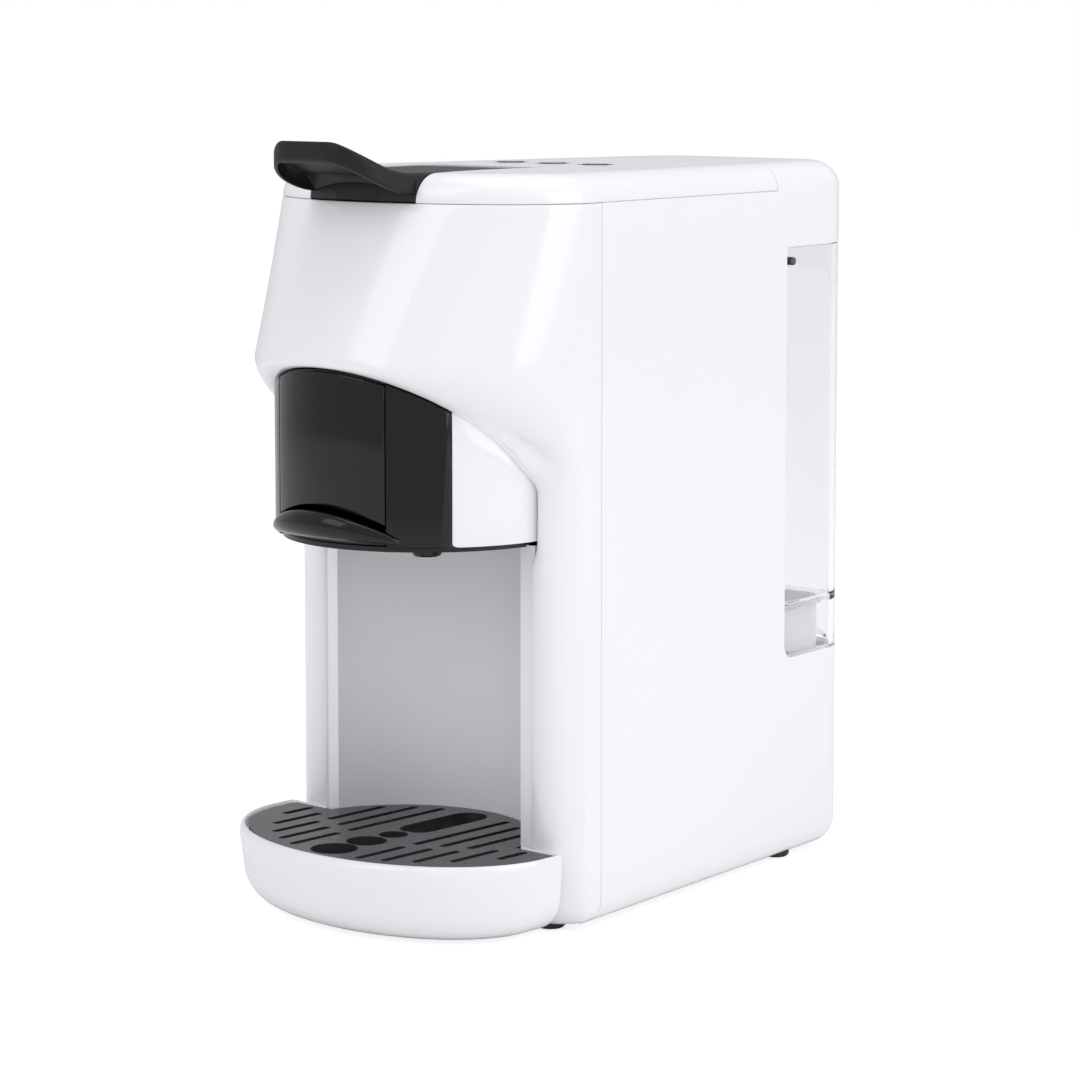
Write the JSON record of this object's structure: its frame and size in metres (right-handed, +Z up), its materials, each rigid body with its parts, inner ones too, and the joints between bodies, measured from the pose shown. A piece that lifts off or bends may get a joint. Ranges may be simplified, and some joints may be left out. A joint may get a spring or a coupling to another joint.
{
  "type": "pod coffee machine",
  "caption": "Pod coffee machine with a lever on top, a sliding pod drawer, a round cup niche, a pull-out drip tray with lift-off grid and a clear water tank at the back.",
  "frame": {"origin": "middle of the footprint on the table", "axes": "+Z up, +Y towards the back, so the drip tray is at -Y and +X is on the right of someone facing the machine"},
  "size_m": [0.142, 0.2576, 0.2856],
  "materials": {
    "gloss_white": "smooth gloss moulding",
    "soft_grey": "satin light grey moulding",
    "charcoal": "fine matte texture",
    "gloss_black": "polished black moulding",
    "grid_grey": "satin dark grey moulding",
    "foot_rubber": "soft black rubber",
    "seal_rubber": "silicone rubber",
    "hose_rubber": "clear silicone tube",
    "clear_tank": "clear moulding",
    "clear_white": "milky moulding",
    "steel": "turned steel",
    "aluminium": "cast aluminium",
    "frame_grey": "glass-filled moulding",
    "chassis_grey": "structural moulding",
    "board_green": "solder mask",
    "pump_tan": "moulded pump body"
  },
  "bodies": {
    "housing": {"base_plate": "soft_grey", "foot_front_left": "foot_rubber", "foot_front_right": "foot_rubber", "foot_rear_left": "foot_rubber", "foot_rear_right": "foot_rubber", "front_shell": "gloss_white", "rear_shell": "gloss_white", "niche_panel": "soft_grey", "top_cover": "gloss_white", "head_skirt": "gloss_white", "head_bezel": "gloss_black", "spout_plate": "gloss_black", "spout_nozzle": "gloss_black", "lever_pin": "steel", "lever_clips": "steel", "brew_frame": "frame_grey", "brew_piston": "frame_grey", "piston_seal": "seal_rubber", "needle_plate": "steel", "button_rings": "grid_grey", "control_board": "board_green", "chassis": "chassis_grey", "boiler": "aluminium", "boiler_bracket": "steel", "pump": "pump_tan", "pump_mounts": "foot_rubber", "flow_meter": "clear_white", "power_board": "board_green", "tank_port": "clear_white", "tank_plinth": "gloss_white", "power_gland": "foot_rubber", "supply_hose": "hose_rubber", "pressure_hose": "hose_rubber", "base_screws": "steel"},
    "lever": {"lever": "charcoal"},
    "pod_drawer": {"pod_drawer": "gloss_black", "pod_cup": "steel"},
    "button_left": {"button_left": "gloss_black"},
    "button_middle": {"button_middle": "gloss_black"},
    "button_right": {"button_right": "gloss_black"},
    "drip_tray": {"drip_tray": "gloss_white"},
    "drip_grid": {"drip_grid": "grid_grey"},
    "tank": {"tank": "clear_tank", "tank_valve": "clear_white", "tank_catches": "soft_grey"}
  },
  "joints": [
    {"name": "lever_hinge", "type": "hinge", "parent": "housing", "child": "lever", "pos_m": [0, -0.0398, 0.267], "axis": [-1, 0, 0], "range_deg": [0, 70]},
    {"name": "pod_drawer_slide", "type": "slide", "parent": "housing", "child": "pod_drawer", "axis": [0, -1, 0], "range_m": [0, 0.055]},
    {"name": "button_left_press", "type": "slide", "parent": "housing", "child": "button_left", "axis": [0, 0, -1], "range_m": [0, 0.001], "stiffness_N_per_m": 400},
    {"name": "button_middle_press", "type": "slide", "parent": "housing", "child": "button_middle", "axis": [0, 0, -1], "range_m": [0, 0.001], "stiffness_N_per_m": 400},
    {"name": "button_right_press", "type": "slide", "parent": "housing", "child": "button_right", "axis": [0, 0, -1], "range_m": [0, 0.001], "stiffness_N_per_m": 400},
    {"name": "drip_tray_slide", "type": "slide", "parent": "housing", "child": "drip_tray", "axis": [0, -1, 0], "range_m": [0, 0.1]},
    {"name": "drip_grid_lift", "type": "slide", "parent": "drip_tray", "child": "drip_grid", "axis": [0, 0, 1], "range_m": [0, 0.03]},
    {"name": "tank_slide", "type": "slide", "parent": "housing", "child": "tank", "axis": [0, 1, 0], "range_m": [0, 0.06]}
  ]
}
